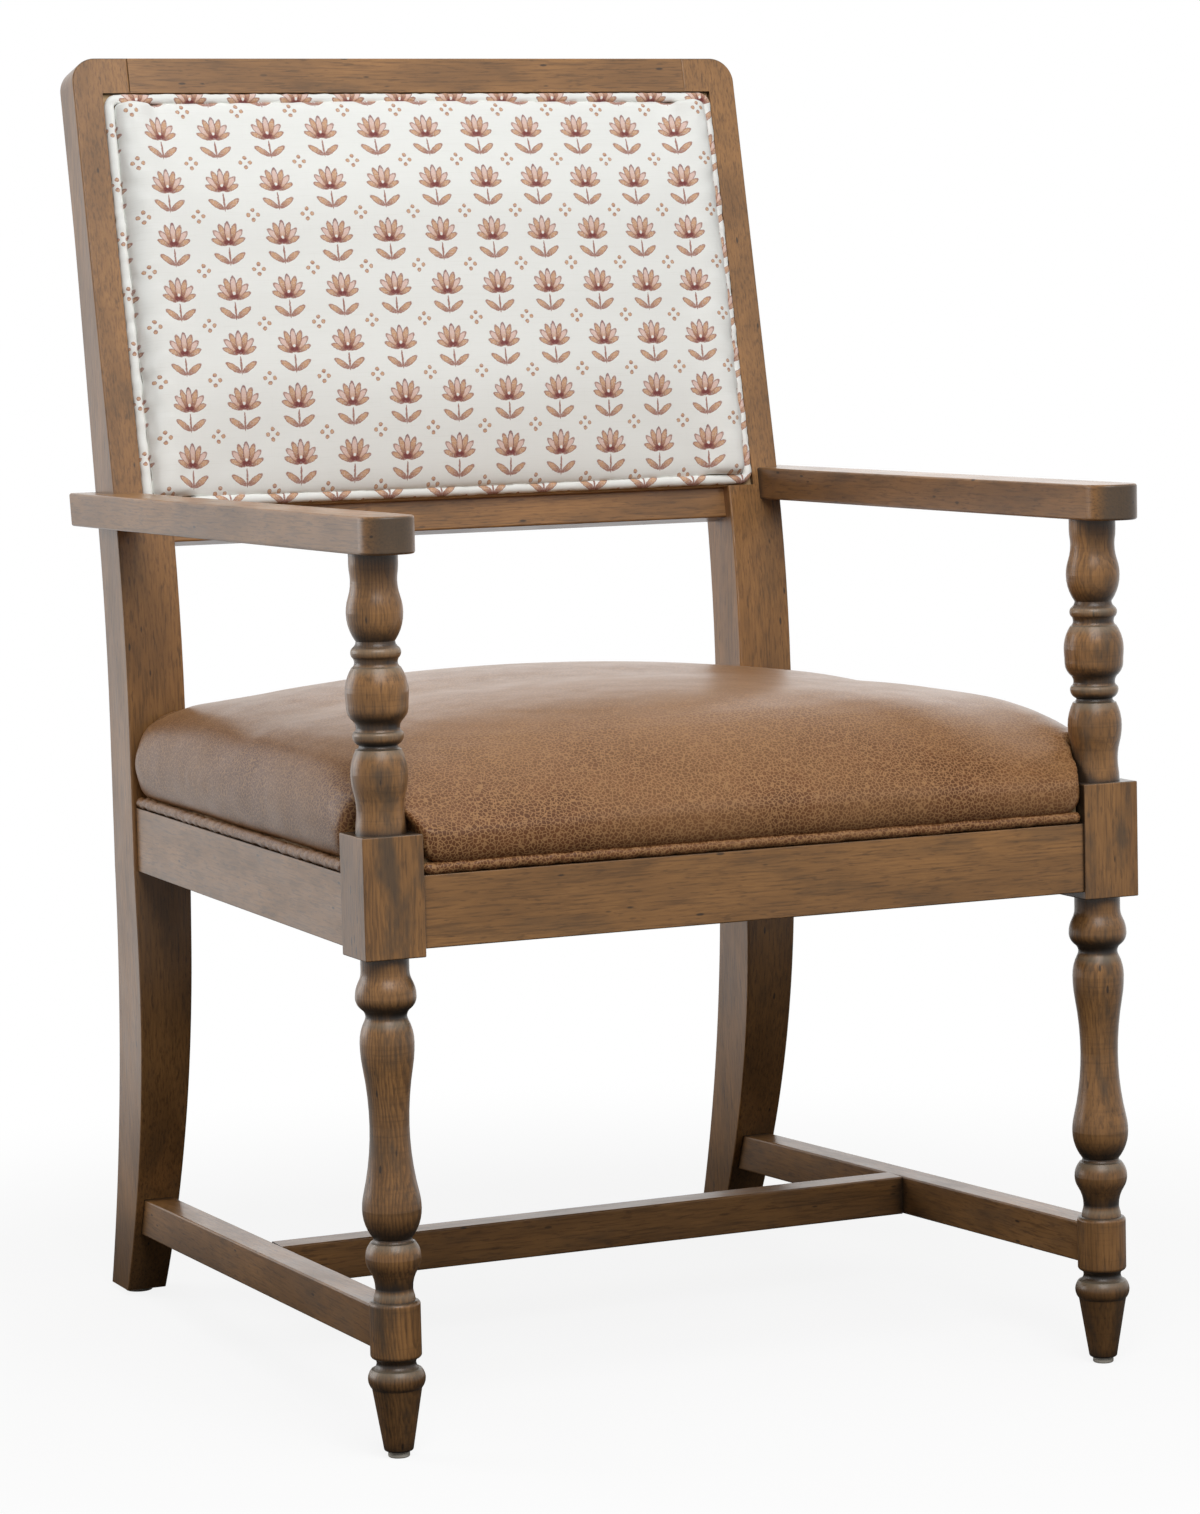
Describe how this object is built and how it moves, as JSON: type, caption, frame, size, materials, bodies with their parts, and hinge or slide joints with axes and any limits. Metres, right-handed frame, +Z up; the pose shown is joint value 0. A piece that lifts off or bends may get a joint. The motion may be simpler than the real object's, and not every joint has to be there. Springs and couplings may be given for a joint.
{
  "type": "leather armchair",
  "caption": "Dining armchair with a stained wood frame, turned front legs carrying flat arms, H-stretcher, tight leather seat and upholstered panel back.",
  "frame": {"origin": "on the floor, at the middle of the chair's outline seen from above", "axes": "+Z up, -Y the way the sitter faces, +X to the left hand of the sitter"},
  "size_m": [0.624, 0.6815, 0.9927],
  "materials": {
    "frame_wood": "satin",
    "plain_wood": "matte",
    "seat_leather": "satin",
    "back_fabric": "matte",
    "foam": "matte",
    "dust_cloth": "matte",
    "steel": "satin",
    "glide": "satin"
  },
  "bodies": {
    "root": {"arm_left": "frame_wood", "arm_right": "frame_wood", "arm_screw_plugs": "frame_wood", "arm_screws": "steel", "back_board": "plain_wood", "back_cover": "back_fabric", "back_foam": "foam", "back_panel_screws": "steel", "back_screw_plugs": "frame_wood", "back_welt": "back_fabric", "corner_block_front_left": "plain_wood", "corner_block_front_right": "plain_wood", "corner_block_rear_left": "plain_wood", "corner_block_rear_right": "plain_wood", "corner_bolts": "steel", "crest_rail": "frame_wood", "crest_rail_dowels": "plain_wood", "cross_stretcher": "frame_wood", "dust_cover": "dust_cloth", "front_leg_left": "frame_wood", "front_leg_right": "frame_wood", "front_rail_dowels": "plain_wood", "front_seat_rail": "frame_wood", "glide_front_left": "glide", "glide_front_right": "glide", "glide_rear_left": "glide", "glide_rear_right": "glide", "lower_back_rail": "frame_wood", "lower_back_rail_dowels": "plain_wood", "outside_back_board": "plain_wood", "outside_back_cover": "back_fabric", "rear_leg_left": "frame_wood", "rear_leg_right": "frame_wood", "rear_rail_dowels": "plain_wood", "rear_seat_rail": "frame_wood", "seat_board": "plain_wood", "seat_cover": "seat_leather", "seat_foam": "foam", "seat_screws": "steel", "seat_welt_front": "seat_leather", "seat_welt_rear": "seat_leather", "seat_welt_side_left": "seat_leather", "seat_welt_side_right": "seat_leather", "side_rail_dowels": "plain_wood", "side_seat_rail_left": "frame_wood", "side_seat_rail_right": "frame_wood", "side_stretcher_left": "frame_wood", "side_stretcher_right": "frame_wood"}
  },
  "joints": []
}
